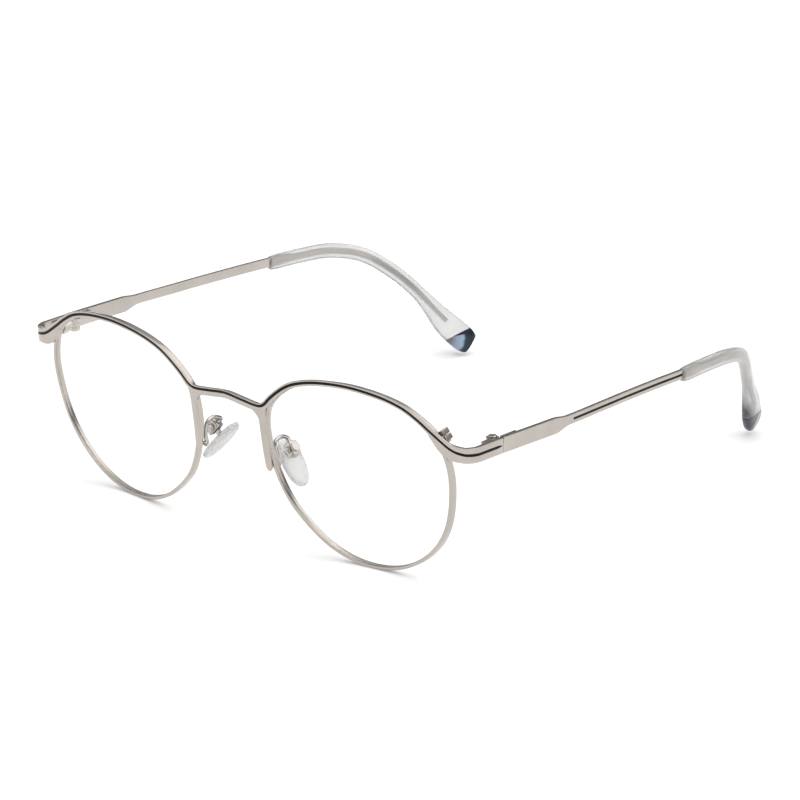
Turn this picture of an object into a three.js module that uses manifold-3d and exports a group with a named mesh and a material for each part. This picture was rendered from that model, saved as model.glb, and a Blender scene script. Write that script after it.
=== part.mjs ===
// Round wire eyeglasses, in millimetres: +X is the wearer's left, +Y runs back along the temples,
// +Z is up. The origin is on the table, under the middle of the footprint.
import * as THREE from 'three';
import { mergeVertices } from 'three/addons/utils/BufferGeometryUtils.js';
import Module from 'manifold-3d';

const wasm = await Module();
wasm.setup();

// ---------- driving dimensions ----------

const DEG = Math.PI / 180;
const GAP = 0.04; // between neighbouring pieces

// curved front surface: depth over the width, and the lean of its top towards the front
const FRONT = { curve: 2.113e-3, flatten: 0.985 / 50 ** 4, lean: Math.tan(-9.23 * DEG), leanAt: 34 };
// plan view of the brow plate: front, rounded corner, side
const CORNER = { startX: 63.5, radius: 4.5 };
const SIDE_END_Y = 20;

// brow plate
const PLATE = 0.6; // thickness over the rims
const ENDPIECE = 1.15; // thickness round the corners
const GROOVE = { width: 0.64, depth: 0.25, clearance: 0.03 };
const BRIDGE = { end: 9.3, middleLow: 34.6, endLow: 33.5, back: 2 }; // bar behind the plate's middle

// rim and lens, measured inwards from the outer outline and back from the front surface
const RIM = { centre: [36.65, 23.6], radius: 24.05, radial: 0.85, front: 0.65, back: 2.4 };
const BEVEL = { depth: 0.34, half: 0.36, at: 1.2, clearance: 0.05 };
const LENS = { middle: [35.8, 22.6], frontBulge: 1.7, backBulge: 1.25 };
const RIM_SEGMENTS = 52;

// closing block that holds the split rim together round the lens
const CLOSING = {
  angle: 29.5, outset: 1.45, radial: 1.7, tangential: 1.3, length: 2.4, split: 0.14, screw: 0.4, head: 0.75,
};

// hinge between endpiece and temple
const HINGE = {
  x: 64.6, y: 19.6, low: 32.3, high: 35.3, radius: 1.5, screw: 0.5, head: 1.05, clearance: 0.04,
};

// temple: a wide section behind the hinge that steps down to a narrow one with a groove
const TEMPLE = { wide: 1.85, narrowUp: 1.4, narrowDown: 0.85, thick: 1.15, thin: 0.95 };
const STEP = { from: 18.6, to: 23.8 }; // where the wide section narrows
const TEMPLE_GROOVE = { from: 25, to: 68, half: 0.28, depth: 0.22, up: 0.28 };

// wire core of the tip, and the plastic tip over it: an even sleeve that widens into a paddle
const CORE = { half: 0.7, taper: 10, end: 127.6, endTaper: 22, endScale: 0.8 };
const SLEEVE = { at: 68.4, halfUp: 1.84, halfAcross: 1.17, rounding: 2.2 };
const PADDLE = { from: 115.6, to: 131.2, halfUp: 3.4, halfAcross: 1.53, drop: 0.54 };
const END = { rounding: 4.3, tipUp: 0.55, tipAcross: 0.5, laminate: 5.7 }; // dark laminate up to this height

// nose pad
const PAD = {
  length: 12.9, width: 6.6, thick: 2.6, centre: [11.1, 12.4, 18.95], splay: 41, frontal: 4, tilt: 9,
};
const BOX = { along: 3.6, deep: 2.6, wide: 2.4, wall: 0.45, stand: 3.2, up: 1.75, fore: 1.4 };
const TAB = { along: 1.3, wide: 0.8, from: -0.55, to: 2.7 }; // metal core's tab, from box into pad
const PAD_SCREW = { radius: 0.35, head: 0.85 };
const BUTTON = { radius: 1.15, height: 0.4 }; // round button on the back of the box
const WIRE = 0.5; // pad arm's radius

// ---------- materials ----------

function finish(color, metalness, roughness, opacity = 1) {
  return new THREE.MeshStandardMaterial({ color, metalness, roughness, opacity, transparent: opacity < 1 });
}

const SILVER = finish(0xc8c0b8, 1, 0.32);
const ENAMEL = finish(0x0a0a0a, 0, 0.25);
const STEEL = finish(0xd0d0d0, 1, 0.2);
const CLEAR_LENS = finish(0xffffff, 0, 0.02, 0.2);
const PAD_PLASTIC = finish(0xe6e6e2, 0, 0.25, 0.7);
const TIP_PLASTIC = finish(0xdcdcda, 0, 0.2, 0.8);
const DARK_LAMINATE = finish(0x28323f, 0, 0.2);

// ---------- solids ----------

const V = (x, y, z) => new THREE.Vector3(x, y, z);
const lerp = THREE.MathUtils.lerp;
const smooth = THREE.MathUtils.smoothstep;

function volume(geometry) {
  const p = geometry.attributes.position;
  const index = geometry.index;
  const a = V();
  const b = V();
  const c = V();
  let sum = 0;
  for (let i = 0; i < index.count; i += 3) {
    a.fromBufferAttribute(p, index.getX(i));
    b.fromBufferAttribute(p, index.getX(i + 1));
    c.fromBufferAttribute(p, index.getX(i + 2));
    sum += a.dot(b.cross(c)) / 6;
  }
  return sum;
}

// one closed mesh with shared corners and its faces pointing out
function closed(geometry) {
  const plain = geometry.clone();
  plain.deleteAttribute('normal');
  plain.deleteAttribute('uv');
  const merged = mergeVertices(plain, 1e-4);
  if (volume(merged) < 0) {
    const index = merged.index.array;
    for (let i = 0; i < index.length; i += 3) [index[i], index[i + 1]] = [index[i + 1], index[i]];
  }
  return merged;
}

function toManifold(geometry) {
  const merged = closed(geometry);
  return new wasm.Manifold(new wasm.Mesh({
    numProp: 3,
    vertProperties: Float32Array.from(merged.attributes.position.array),
    triVerts: Uint32Array.from(merged.index.array),
  }));
}

function toGeometry(manifold) {
  const mesh = manifold.getMesh();
  const geometry = new THREE.BufferGeometry();
  geometry.setAttribute('position', new THREE.BufferAttribute(mesh.vertProperties, 3));
  geometry.setIndex(new THREE.BufferAttribute(mesh.triVerts, 1));
  return geometry;
}

const joined = (...parts) => toGeometry(parts.map(toManifold).reduce((all, part) => all.add(part)));

const cut = (body, ...tools) => toGeometry(tools.map(toManifold)
  .reduce((left, tool) => left.subtract(tool), toManifold(body)));

// moves every corner of a geometry to where place puts it
function warped(geometry, place) {
  const p = geometry.attributes.position;
  const point = V();
  for (let i = 0; i < p.count; i++) {
    point.fromBufferAttribute(p, i);
    const to = place(point);
    p.setXYZ(i, to.x, to.y, to.z);
  }
  return closed(geometry);
}

// a bar of square section through stations: place(station, side, depth), with side and depth 0 or 1
function bar(stations, place) {
  const count = stations.length - 1;
  const box = new THREE.BoxGeometry(count, 1, 1, count, 1, 1);
  return warped(box, (p) => place(stations[Math.round(p.x + count / 2)], p.y + 0.5, p.z + 0.5));
}

// a bar of round-cornered section through a path: frame(t) gives centre, two axes and two half sizes,
// and a higher power makes the section squarer
function roundBar(count, sides, frame, power = 2) {
  const drum = new THREE.CylinderGeometry(1, 1, count, sides, count);
  return warped(drum, (p) => {
    const { centre, across, upward, halfAcross, halfUp } = frame((p.y + count / 2) / count);
    const spread = Math.hypot(p.x, p.z);
    const angle = Math.atan2(p.z, p.x);
    const bend = (v) => Math.sign(v) * Math.abs(v) ** (2 / power);
    return centre.clone()
      .addScaledVector(across, spread * halfAcross * bend(Math.cos(angle)))
      .addScaledVector(upward, spread * halfUp * bend(Math.sin(angle)));
  });
}

function wire(points, radius, sides = 5, steps = 22) {
  const path = new THREE.CatmullRomCurve3(points, false, 'centripetal');
  const section = new THREE.Shape().absarc(0, 0, radius, 0, 2 * Math.PI);
  section.autoClose = true;
  return closed(new THREE.ExtrudeGeometry(section, {
    steps, extrudePath: path, curveSegments: sides, bevelEnabled: false,
  }));
}

// a straight cylinder between two points
function rod(from, to, radius, sides = 18) {
  const along = to.clone().sub(from);
  const geometry = new THREE.CylinderGeometry(radius, radius, along.length(), sides);
  const turn = new THREE.Quaternion().setFromUnitVectors(V(0, 1, 0), along.clone().normalize());
  geometry.applyQuaternion(turn);
  const middle = from.clone().add(to).multiplyScalar(0.5);
  return geometry.translate(middle.x, middle.y, middle.z);
}

// a block standing on three axes
function block(centre, axes, sizes) {
  const geometry = new THREE.BoxGeometry(...sizes);
  const frame = new THREE.Matrix4().makeBasis(...axes).setPosition(centre);
  return geometry.applyMatrix4(frame);
}

function mirrored(geometry) {
  const copy = closed(geometry);
  copy.scale(-1, 1, 1);
  return closed(copy);
}

function spaced(...stretches) {
  const list = [stretches[0][0]];
  for (const [from, to, count] of stretches) {
    for (let i = 1; i <= count; i++) list.push(lerp(from, to, i / count));
  }
  return list;
}

// a smooth curve of value over position, read off at any position
function profile(points) {
  const curve = new THREE.SplineCurve(points.map(([x, y]) => new THREE.Vector2(x, y)));
  const samples = curve.getPoints(points.length * 16);
  return (x) => {
    let i = 1;
    while (i < samples.length - 1 && samples[i].x < x) i++;
    const a = samples[i - 1];
    const b = samples[i];
    return lerp(a.y, b.y, THREE.MathUtils.clamp((x - a.x) / (b.x - a.x), 0, 1));
  };
}

// ---------- front surface ----------

const planY = (x) => FRONT.curve * x * x - FRONT.flatten * x ** 4 + FRONT.lean * (FRONT.leanAt - 45);
const planSlope = (x) => 2 * FRONT.curve * x - 4 * FRONT.flatten * x ** 3;
const frontY = (x, z) => planY(x) + FRONT.lean * (z - FRONT.leanAt);

const START_ANGLE = Math.atan(planSlope(CORNER.startX));
const CORNER_LENGTH = CORNER.radius * (Math.PI / 2 - START_ANGLE);
const CORNER_END = CORNER.startX + CORNER_LENGTH;
const CORNER_CENTRE = {
  x: CORNER.startX - CORNER.radius * Math.sin(START_ANGLE),
  y: planY(CORNER.startX) + CORNER.radius * Math.cos(START_ANGLE),
};
const SIDE_X = CORNER_CENTRE.x + CORNER.radius;
const PLATE_END = CORNER_END + SIDE_END_Y - CORNER_CENTRE.y;

// a point of the brow plate: s runs along the plate from the middle, depth goes in from its face
function onPlate(s, z, depth) {
  const side = Math.sign(s) || 1;
  const run = Math.abs(s);
  const lean = FRONT.lean * (z - FRONT.leanAt) * (1 - smooth(run, CORNER.startX, CORNER_END));
  let x, y, angle;
  if (run <= CORNER.startX) {
    [x, y, angle] = [run, planY(run), Math.atan(planSlope(run))];
  } else if (run <= CORNER_END) {
    angle = START_ANGLE + (run - CORNER.startX) / CORNER.radius;
    x = CORNER_CENTRE.x + CORNER.radius * Math.sin(angle);
    y = CORNER_CENTRE.y - CORNER.radius * Math.cos(angle);
  } else {
    [x, y, angle] = [SIDE_X, CORNER_CENTRE.y + run - CORNER_END, Math.PI / 2];
  }
  return V(side * (x - depth * Math.sin(angle)), y + lean + depth * Math.cos(angle), z);
}

// height of the groove's centre along the plate, and the plate's width above and below it
const GROOVE_LINE = [
  [-5, 35.3], [0, 35.88], [5, 35.3], [9.3, 34.8], [11.5, 35.4], [14, 37.85], [18, 41], [22, 42.97],
  [28, 44.45], [36, 45.08], [44, 44.42], [50, 42.93], [54, 40.8], [58, 37.9], [62, 35.2], [65, 34.3],
  [68, 34], [80, 33.87],
];
const grooveZ = profile(GROOVE_LINE);
const above = profile([[0, 0.6], [10, 0.68], [30, 0.68], [54, 0.8], [60, 1.1], [68, 1.6], [80, 1.65]]);
const below = profile([
  [0, 1.45], [8, 1.45], [12, 1], [16, 0.8], [40, 0.8], [55.5, 0.8], [58, 1.4], [60.5, 2.5],
  [62.5, 2.75], [66, 2.1], [70, 1.95], [80, 1.93],
]);

// a height measured square to the groove
function beside(s, offset) {
  const run = Math.abs(s);
  const slope = (grooveZ(run + 0.2) - grooveZ(run - 0.2)) / 0.4;
  const length = Math.hypot(1, slope);
  const side = Math.sign(s) || 1;
  return { s: s - side * offset * slope / length, z: grooveZ(run) + offset / length };
}

const ONE_SIDE = spaced([0, 7, 2], [7, 16, 7], [16, 55, 13], [55, 65, 6], [65, CORNER_END, 5],
  [CORNER_END, PLATE_END, 2]);
const STATIONS = [...ONE_SIDE.slice(1).reverse().map((s) => -s), ...ONE_SIDE];

function plateBar() {
  return bar(STATIONS, (s, side, depth) => {
    const run = Math.abs(s);
    const { s: at, z } = beside(s, side ? above(run) : -below(run));
    const thick = lerp(PLATE, ENDPIECE, smooth(run, 61.3, 64.5));
    const clamped = run > CORNER_END ? s : at;
    return onPlate(clamped, z, depth * thick);
  });
}

// the leg that comes down from the bridge in front of a rim, narrowing to a round end: its two edges
const legInner = profile([
  [18.5, 10.8], [18.9, 10.3], [19.8, 10], [22, 9.8], [26, 9.65], [31, 9.6], [32, 9.3], [33, 8.4], [34, 7.4],
  [36, 6.5],
]);
const legOuter = profile([
  [18.5, 11], [18.9, 11.4], [19.8, 11.7], [22, 11.6], [26, 11.45], [31, 11.45], [33.4, 11.65], [35, 12.2],
  [36, 12.6],
]);

function plateLeg(side) {
  return bar(spaced([35.2, 30, 6], [30, 20, 5], [20, 18.5, 4]), (z, edge, depth) => {
    const x = edge ? legOuter(z) : legInner(z);
    return V(side * x, frontY(x, z) + lerp(0.02, PLATE - 0.03, depth), z);
  });
}

// the strip that fills or cuts the groove, ending in a point near each temple
function grooveStrip(halfWidth, front, back) {
  const end = PLATE_END - 0.35;
  const stations = STATIONS.filter((s) => Math.abs(s) < end - 1);
  return bar([-end, ...stations, end], (s, side, depth) => {
    const run = Math.abs(s);
    const taper = lerp(1, 0.25, smooth(run, end - 3, end));
    const { s: at, z } = beside(s, (side ? 1 : -1) * halfWidth * taper);
    return onPlate(run > CORNER_END ? s : at, z, lerp(front, back, depth));
  });
}

function browFront() {
  const plate = joined(plateBar(), plateLeg(1), plateLeg(-1));
  return cut(plate, grooveStrip(GROOVE.width / 2, -0.2, GROOVE.depth));
}

function browEnamel() {
  return grooveStrip(GROOVE.width / 2 - GROOVE.clearance, 0.02, GROOVE.depth - GROOVE.clearance);
}

// the bar that joins the two rims behind the plate
function bridgeBar() {
  const { end, middleLow, endLow, back } = BRIDGE;
  return bar(spaced([-end, end, 16]), (x, side, depth) => {
    const run = Math.abs(x);
    const z = side ? grooveZ(run) + 0.1 : lerp(middleLow, endLow, (run / end) ** 2);
    return V(x, frontY(x, z) + lerp(PLATE + GAP, back, depth), z);
  });
}

// ---------- rims and lenses (left side; the right side is its mirror image) ----------

function rimOutline() {
  const points = [];
  for (let angle = -12; angle >= -132; angle -= 12) {
    const [cx, cz] = RIM.centre;
    points.push([cx + RIM.radius * Math.cos(angle * DEG), cz + RIM.radius * Math.sin(angle * DEG)]);
  }
  const nasal = [[18.2, 7.9], [15.5, 10.9], [13.3, 14.8], [11.6, 19.4], [10.55, 23.5], [10.15, 27.6],
    [10.4, 31.5], [11.6, 35]];
  const top = [14, 18, 22, 28, 36, 44, 50, 54].map((x) => [x, grooveZ(x) + 0.05]);
  const temporal = [[57.3, 38.5], [59.3, 35.5], [60.5, 32.4], [61.15, 29.2], [61.25, 26.3], [60.95, 22.8]];
  const curve = new THREE.CatmullRomCurve3(
    [...points, ...nasal, ...top, ...temporal].map(([x, z]) => V(x, 0, z)), true, 'centripetal');
  curve.arcLengthDivisions = 2000;
  return curve;
}

const OUTLINE = rimOutline();

// outline point number i, moved inwards
const OUTLINE_POINTS = Array.from({ length: RIM_SEGMENTS }, (_, i) => {
  const at = OUTLINE.getPointAt(i / RIM_SEGMENTS);
  const along = OUTLINE.getTangentAt(i / RIM_SEGMENTS);
  return { x: at.x, z: at.z, inX: along.z, inZ: -along.x };
});

function inside(i, inset) {
  const p = OUTLINE_POINTS[(i + RIM_SEGMENTS) % RIM_SEGMENTS];
  return [p.x + p.inX * inset, p.z + p.inZ * inset];
}

// which outline point a corner of a lathed ring belongs to
const outlineIndex = (p) => Math.round(Math.atan2(p.x, p.z) / (2 * Math.PI) * RIM_SEGMENTS);

// turns a section, as [inset, depth] points, right round the rim's outline
function aroundRim(section) {
  const large = 100;
  const lathe = new THREE.LatheGeometry(
    section.map(([inset, depth]) => new THREE.Vector2(large + inset, depth)), RIM_SEGMENTS);
  return warped(lathe, (p) => {
    const [x, z] = inside(outlineIndex(p), Math.hypot(p.x, p.z) - large);
    return V(x, frontY(x, z) + p.y, z);
  });
}

function rimRing() {
  const { radial, front, back } = RIM;
  const { at, half, depth } = BEVEL;
  return aroundRim([
    [0, front], [radial, front], [radial, at - half], [radial - depth, at],
    [radial, at + half], [radial, back], [0, back], [0, front],
  ]);
}

// a slab square to the rim, that splits it at the closing block
function splitSlab() {
  const { middle, outward, backward, along } = closingFrame();
  return block(middle, [outward, backward, along], [5, 12, CLOSING.split]);
}

// a bevelled disc with both faces bulged towards the front; its rings run from middle to edge and back
function lens() {
  const edge = RIM.radial + GAP;
  const halfEdge = BEVEL.half - BEVEL.clearance;
  const frontDepth = (k) => BEVEL.at - halfEdge - LENS.frontBulge * (1 - k * k);
  const backDepth = (k) => BEVEL.at + halfEdge - LENS.backBulge * (1 - k * k);
  const rings = [
    { k: 0, inset: edge, depth: frontDepth(0) },
    { k: 0.5, inset: edge, depth: frontDepth(0.5) },
    { k: 1, inset: edge, depth: frontDepth(1) },
    { k: 1, inset: RIM.radial - BEVEL.depth + BEVEL.clearance, depth: BEVEL.at },
    { k: 1, inset: edge, depth: backDepth(1) },
    { k: 0.5, inset: edge, depth: backDepth(0.5) },
    { k: 0, inset: edge, depth: backDepth(0) },
  ];
  const section = rings.map((ring, i) => new THREE.Vector2(ring.k === 0 ? 0 : 1 + i, i));
  const lathe = new THREE.LatheGeometry(section, RIM_SEGMENTS);
  const [middleX, middleZ] = LENS.middle;
  return warped(lathe, (p) => {
    const ring = rings[Math.round(p.y)];
    const [edgeX, edgeZ] = inside(outlineIndex(p), ring.inset);
    const x = lerp(middleX, edgeX, ring.k);
    const z = lerp(middleZ, edgeZ, ring.k);
    return V(x, frontY(x, z) + ring.depth, z);
  });
}

// ---------- closing block ----------

// stands square to the front surface behind the rim
function closingFrame() {
  const [cx, cz] = RIM.centre;
  const flat = V(Math.cos(CLOSING.angle * DEG), 0, Math.sin(CLOSING.angle * DEG));
  const middle = V(cx, 0, cz).addScaledVector(flat, RIM.radius + CLOSING.outset);
  middle.y = frontY(middle.x, middle.z);
  const backward = V(-planSlope(middle.x), 1, -FRONT.lean).normalize();
  const outward = flat.addScaledVector(backward, -flat.dot(backward)).normalize();
  const along = outward.clone().cross(backward);
  middle.addScaledVector(backward, RIM.back + 2 * GAP + CLOSING.length / 2);
  return { middle, outward, backward, along };
}

function closingBlock(upperHalf) {
  const { middle, outward, backward, along } = closingFrame();
  const { radial, tangential, length, split, screw } = CLOSING;
  const shift = (upperHalf ? 1 : -1) * (tangential + split) / 2;
  const centre = middle.clone().addScaledVector(along, shift);
  const body = block(centre, [outward, backward, along], [radial, length, tangential]);
  const from = middle.clone().addScaledVector(along, -4);
  const to = middle.clone().addScaledVector(along, 4);
  return cut(body, rod(from, to, screw + GAP, 16));
}

function closingScrew() {
  const { middle, along } = closingFrame();
  const at = (d) => middle.clone().addScaledVector(along, d);
  const seat = CLOSING.tangential + CLOSING.split / 2 + GAP;
  const shank = rod(at(-seat - 0.2), at(seat), CLOSING.screw, 16);
  return joined(shank, rod(at(-seat - 0.4), at(-seat), CLOSING.head, 16));
}

// ---------- nose pad ----------

function padFrame() {
  const splay = PAD.splay * DEG;
  const frontal = PAD.frontal * DEG;
  const flatNormal = V(-Math.cos(splay), 0, -Math.sin(splay));
  const normal = flatNormal.clone().multiplyScalar(Math.cos(frontal)).add(V(0, Math.sin(frontal), 0));
  const long = V(Math.sin(splay), 0, -Math.cos(splay)).applyAxisAngle(normal, PAD.tilt * DEG);
  const wide = long.clone().cross(normal);
  const centre = V(...PAD.centre);
  const box = centre.clone().addScaledVector(normal, -BOX.stand)
    .addScaledVector(long, -BOX.up).addScaledVector(wide, -BOX.fore);
  return { centre, long, wide, normal, box };
}

// a block round the tab of the pad's metal core, larger than it by clearance
function padTab(clearance) {
  const { long, wide, normal, box } = padFrame();
  const centre = box.clone().addScaledVector(normal, (TAB.from + TAB.to) / 2);
  const sizes = [TAB.along, TAB.wide, TAB.to - TAB.from].map((size) => size + 2 * clearance);
  return block(centre, [long, wide, normal], sizes);
}

// plastic pad, with a pocket that holds the tab
function nosePad() {
  const { centre, long, wide, normal } = padFrame();
  const ball = new THREE.SphereGeometry(1, 22, 12);
  const bend = (v, power) => Math.sign(v) * Math.abs(v) ** power;
  const body = warped(ball, (p) => centre.clone()
    .addScaledVector(long, bend(p.y, 0.9) * PAD.length / 2)
    .addScaledVector(wide, p.x * PAD.width / 2)
    .addScaledVector(normal, bend(p.z, 0.75) * PAD.thick / 2));
  return cut(body, padTab(GAP));
}

// metal core of the pad: its tab stands in the box and turns on the screw
function padCore() {
  const { wide, box } = padFrame();
  const from = box.clone().addScaledVector(wide, -1);
  const to = box.clone().addScaledVector(wide, 1);
  return cut(padTab(0), rod(from, to, PAD_SCREW.radius + GAP, 14));
}

function padBox() {
  const { long, wide, normal, box } = padFrame();
  const back = box.clone().addScaledVector(normal, 0.1 - BOX.deep / 2);
  const buttonTop = back.clone().addScaledVector(normal, -0.1 - BUTTON.height);
  const body = joined(
    block(box, [long, wide, normal], [BOX.along, BOX.wide, BOX.deep]),
    rod(back, buttonTop, BUTTON.radius, 20),
  );
  const mouth = box.clone().addScaledVector(normal, BOX.wall);
  const inner = [BOX.along - 2 * BOX.wall, BOX.wide - 2 * BOX.wall, BOX.deep + 0.02];
  const from = box.clone().addScaledVector(wide, -3);
  const to = box.clone().addScaledVector(wide, 3);
  return cut(body, block(mouth, [long, wide, normal], inner), rod(from, to, PAD_SCREW.radius + GAP, 14));
}

function padScrew() {
  const { wide, box } = padFrame();
  const at = (d) => box.clone().addScaledVector(wide, d);
  const seat = BOX.wide / 2 + GAP;
  const shank = rod(at(-seat - 0.3), at(seat + 0.2), PAD_SCREW.radius, 14);
  return joined(shank, rod(at(-seat - 0.5), at(-seat), PAD_SCREW.head, 20));
}

// goose-neck wire from the back of the rim up and round to the upper end of the box
function padArm() {
  const { long, box } = padFrame();
  const foot = V(11.2, 0, 19.4);
  foot.y = frontY(foot.x, foot.z) + RIM.back + GAP;
  const end = box.clone().addScaledVector(long, -BOX.along / 2 - GAP);
  const above = (d) => end.clone().addScaledVector(long, -d);
  return wire([
    foot, V(11.2, foot.y + 0.6, 19.75), V(11.1, 7.05, 21.6), V(10.75, 6.8, 23.6), V(10.5, 7, 24.8),
    V(10.45, 7.9, 25.45), V(10.45, 9.3, 25.6), above(1), above(0.3), end,
  ], WIRE);
}

// ---------- hinge ----------

const hingeAt = (z) => V(HINGE.x, HINGE.y, z);
const KNUCKLE = (HINGE.high - HINGE.low) / 3;
const UPRIGHT = [V(1, 0, 0), V(0, 1, 0), V(0, 0, 1)];

function span(low, high) {
  const centre = low.clone().add(high).multiplyScalar(0.5);
  return block(centre, UPRIGHT, high.clone().sub(low).toArray());
}

const hingeHole = () => rod(hingeAt(30), hingeAt(38), HINGE.screw + HINGE.clearance, 24);

// two knuckles on a block fixed inside the endpiece
function hingeFront() {
  const inner = SIDE_X - ENDPIECE - GAP;
  const body = span(V(HINGE.x, 15.6, HINGE.low), V(inner, HINGE.y, HINGE.high));
  const drum = rod(hingeAt(HINGE.low), hingeAt(HINGE.high), HINGE.radius, 24);
  const from = HINGE.low + KNUCKLE - HINGE.clearance;
  const to = HINGE.high - KNUCKLE + HINGE.clearance;
  const slot = rod(hingeAt(from), hingeAt(to), HINGE.radius + 0.1, 24);
  return cut(joined(body, drum), slot, hingeHole());
}

// one knuckle on a leaf fixed inside the temple
function hingeTemple() {
  const inner = SIDE_X - TEMPLE.thick - GAP - 0.05;
  const clear = HINGE.radius + 0.1;
  const leaf = span(V(inner - 1, HINGE.y, HINGE.low), V(inner, 26.5, HINGE.high));
  const lowCut = rod(hingeAt(31), hingeAt(HINGE.low + KNUCKLE), clear, 24);
  const highCut = rod(hingeAt(HINGE.high - KNUCKLE), hingeAt(37), clear, 24);
  const shaped = cut(leaf, lowCut, highCut);
  const drum = rod(hingeAt(HINGE.low + KNUCKLE), hingeAt(HINGE.high - KNUCKLE), HINGE.radius, 24);
  const arm = span(V(HINGE.x, HINGE.y, HINGE.low + KNUCKLE), V(inner, 22, HINGE.high - KNUCKLE));
  return cut(joined(shaped, drum, arm), hingeHole());
}

function hingeScrew() {
  const shank = rod(hingeAt(HINGE.low - 0.3), hingeAt(HINGE.high + 0.3), HINGE.screw, 24);
  return joined(shank, rod(hingeAt(HINGE.high + GAP), hingeAt(HINGE.high + 0.45), HINGE.head, 24));
}

// ---------- temple and tip ----------

// centre line from the hinge to the end of the core wire inside the tip
const TEMPLE_LINE = new THREE.CatmullRomCurve3([
  V(66.92, 20.06, 33.8), V(66.8, 38.06, 33.35), V(66.76, 44.06, 33.2), V(66.2, 54, 33), V(65.55, 65, 32.8),
  V(64.8, 78, 32.45), V(64.2, 88.7, 32.05), V(63.25, 98.4, 31.8), V(61.9, 108.1, 31), V(59, 116.9, 28.4),
  V(55.7, 123.2, 23.8), V(52.7, 127.9, 18.9), V(50.7, 131.4, 14.5), V(48.8, 134.9, 9.9), V(46.5, 138.6, 5.6),
  V(44.8, 141.6, 2.5),
], false, 'centripetal');
TEMPLE_LINE.arcLengthDivisions = 4000;
const LINE_LENGTH = TEMPLE_LINE.getLength();

// frame of the temple at a distance along it: outward is away from the head
function templeFrame(distance) {
  const t = THREE.MathUtils.clamp(distance / LINE_LENGTH, 0, 1);
  const centre = TEMPLE_LINE.getPointAt(t);
  const along = TEMPLE_LINE.getTangentAt(t);
  const outward = V(1, 0, 0).addScaledVector(along, -along.x).normalize();
  const upward = outward.clone().cross(along).normalize();
  return { centre, along, outward, upward };
}

// half heights above and below the line, and the thickness, of the metal at a distance along it
function templeSize(d) {
  const narrowing = smooth(d, STEP.from, STEP.to);
  const coreTaper = smooth(d, SLEEVE.at, SLEEVE.at + CORE.taper);
  const shrink = lerp(1, CORE.endScale, smooth(d, CORE.end - CORE.endTaper, CORE.end));
  const size = (wide, narrow) => lerp(lerp(wide, narrow, narrowing), CORE.half, coreTaper) * shrink;
  return {
    upper: size(TEMPLE.wide, TEMPLE.narrowUp),
    lower: size(TEMPLE.wide, TEMPLE.narrowDown),
    thick: size(TEMPLE.thick, TEMPLE.thin),
  };
}

function templeBlade() {
  const stations = spaced([0, STEP.from, 4], [STEP.from, STEP.to, 6], [STEP.to, SLEEVE.at, 10],
    [SLEEVE.at, CORE.end, 18]);
  return bar(stations, (d, side, depth) => {
    const { centre, outward, upward } = templeFrame(d);
    const { upper, lower, thick } = templeSize(d);
    return centre.addScaledVector(upward, side ? upper : -lower)
      .addScaledVector(outward, lerp(0.5, -0.5, depth) * thick);
  });
}

function templeStrip(halfWidth, front, back, inset) {
  const { from, to, up } = TEMPLE_GROOVE;
  return bar(spaced([from + inset, to - inset, 16]), (d, side, depth) => {
    const { centre, outward, upward } = templeFrame(d);
    const { thick } = templeSize(d);
    return centre.addScaledVector(upward, up + (side ? halfWidth : -halfWidth))
      .addScaledVector(outward, thick / 2 - lerp(front, back, depth));
  });
}

const temple = () => cut(templeBlade(), templeStrip(TEMPLE_GROOVE.half, -0.2, TEMPLE_GROOVE.depth, 0));

function templeEnamel() {
  const { half: halfWidth, depth } = TEMPLE_GROOVE;
  return templeStrip(halfWidth - GROOVE.clearance, 0.02, depth - GROOVE.clearance, 0.05);
}

const ROUND_START = LINE_LENGTH - END.rounding + 0.6;

// half height and thickness of the tip, and how far it sits below the line
function tipSize(d) {
  const start = smooth(d, SLEEVE.at - 0.2, SLEEVE.at + SLEEVE.rounding);
  const paddle = smooth(d, PADDLE.from, PADDLE.to);
  const round = Math.sqrt(1 - (Math.max(0, d - ROUND_START) / END.rounding) ** 2);
  const size = (sleeve, wide, tip) => lerp(sleeve, wide, paddle) * lerp(0.9, 1, start) * lerp(tip, 1, round);
  return {
    halfUp: size(SLEEVE.halfUp, PADDLE.halfUp, END.tipUp),
    halfAcross: size(SLEEVE.halfAcross, PADDLE.halfAcross, END.tipAcross),
    drop: paddle * PADDLE.drop,
  };
}

function wholeTip() {
  const stations = spaced([SLEEVE.at - 0.2, SLEEVE.at + 2.4, 2], [SLEEVE.at + 2.4, PADDLE.from, 11],
    [PADDLE.from, ROUND_START, 8], [ROUND_START, LINE_LENGTH, 6]);
  const count = stations.length - 1;
  return roundBar(count, 16, (t) => {
    const d = stations[Math.round(t * count)];
    const { centre, outward, upward } = templeFrame(d);
    const { halfUp, halfAcross, drop } = tipSize(d);
    return { centre: centre.addScaledVector(upward, -drop), across: outward, upward, halfUp, halfAcross };
  }, 2.6);
}

// the hollow that the core wire fills
function coreSocket() {
  return bar(spaced([SLEEVE.at - 1, CORE.end + 0.6, 20]), (d, side, depth) => {
    const { centre, outward, upward } = templeFrame(d);
    const { upper, lower, thick } = templeSize(d);
    return centre.addScaledVector(upward, side ? upper + GAP : -lower - GAP)
      .addScaledVector(outward, lerp(0.5, -0.5, depth) * (thick + 2 * GAP));
  });
}

// everything round the tips between two heights
const layer = (low, high) => span(V(30, 60, low), V(80, 160, high));

const templeTip = () => cut(wholeTip(), coreSocket(), layer(-5, END.laminate + GAP / 2));

// dark laminate that closes the tip with a rounded end, cut level above
const tipEnd = () => cut(wholeTip(), layer(END.laminate - GAP / 2, 60));

// ---------- assembly ----------

const group = new THREE.Group();

function add(name, geometry, material) {
  const mesh = new THREE.Mesh(closed(geometry), material);
  mesh.name = name;
  group.add(mesh);
}

function addPair(name, geometry, material) {
  add(`${name}_left`, geometry, material);
  add(`${name}_right`, mirrored(geometry), material);
}

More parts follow.
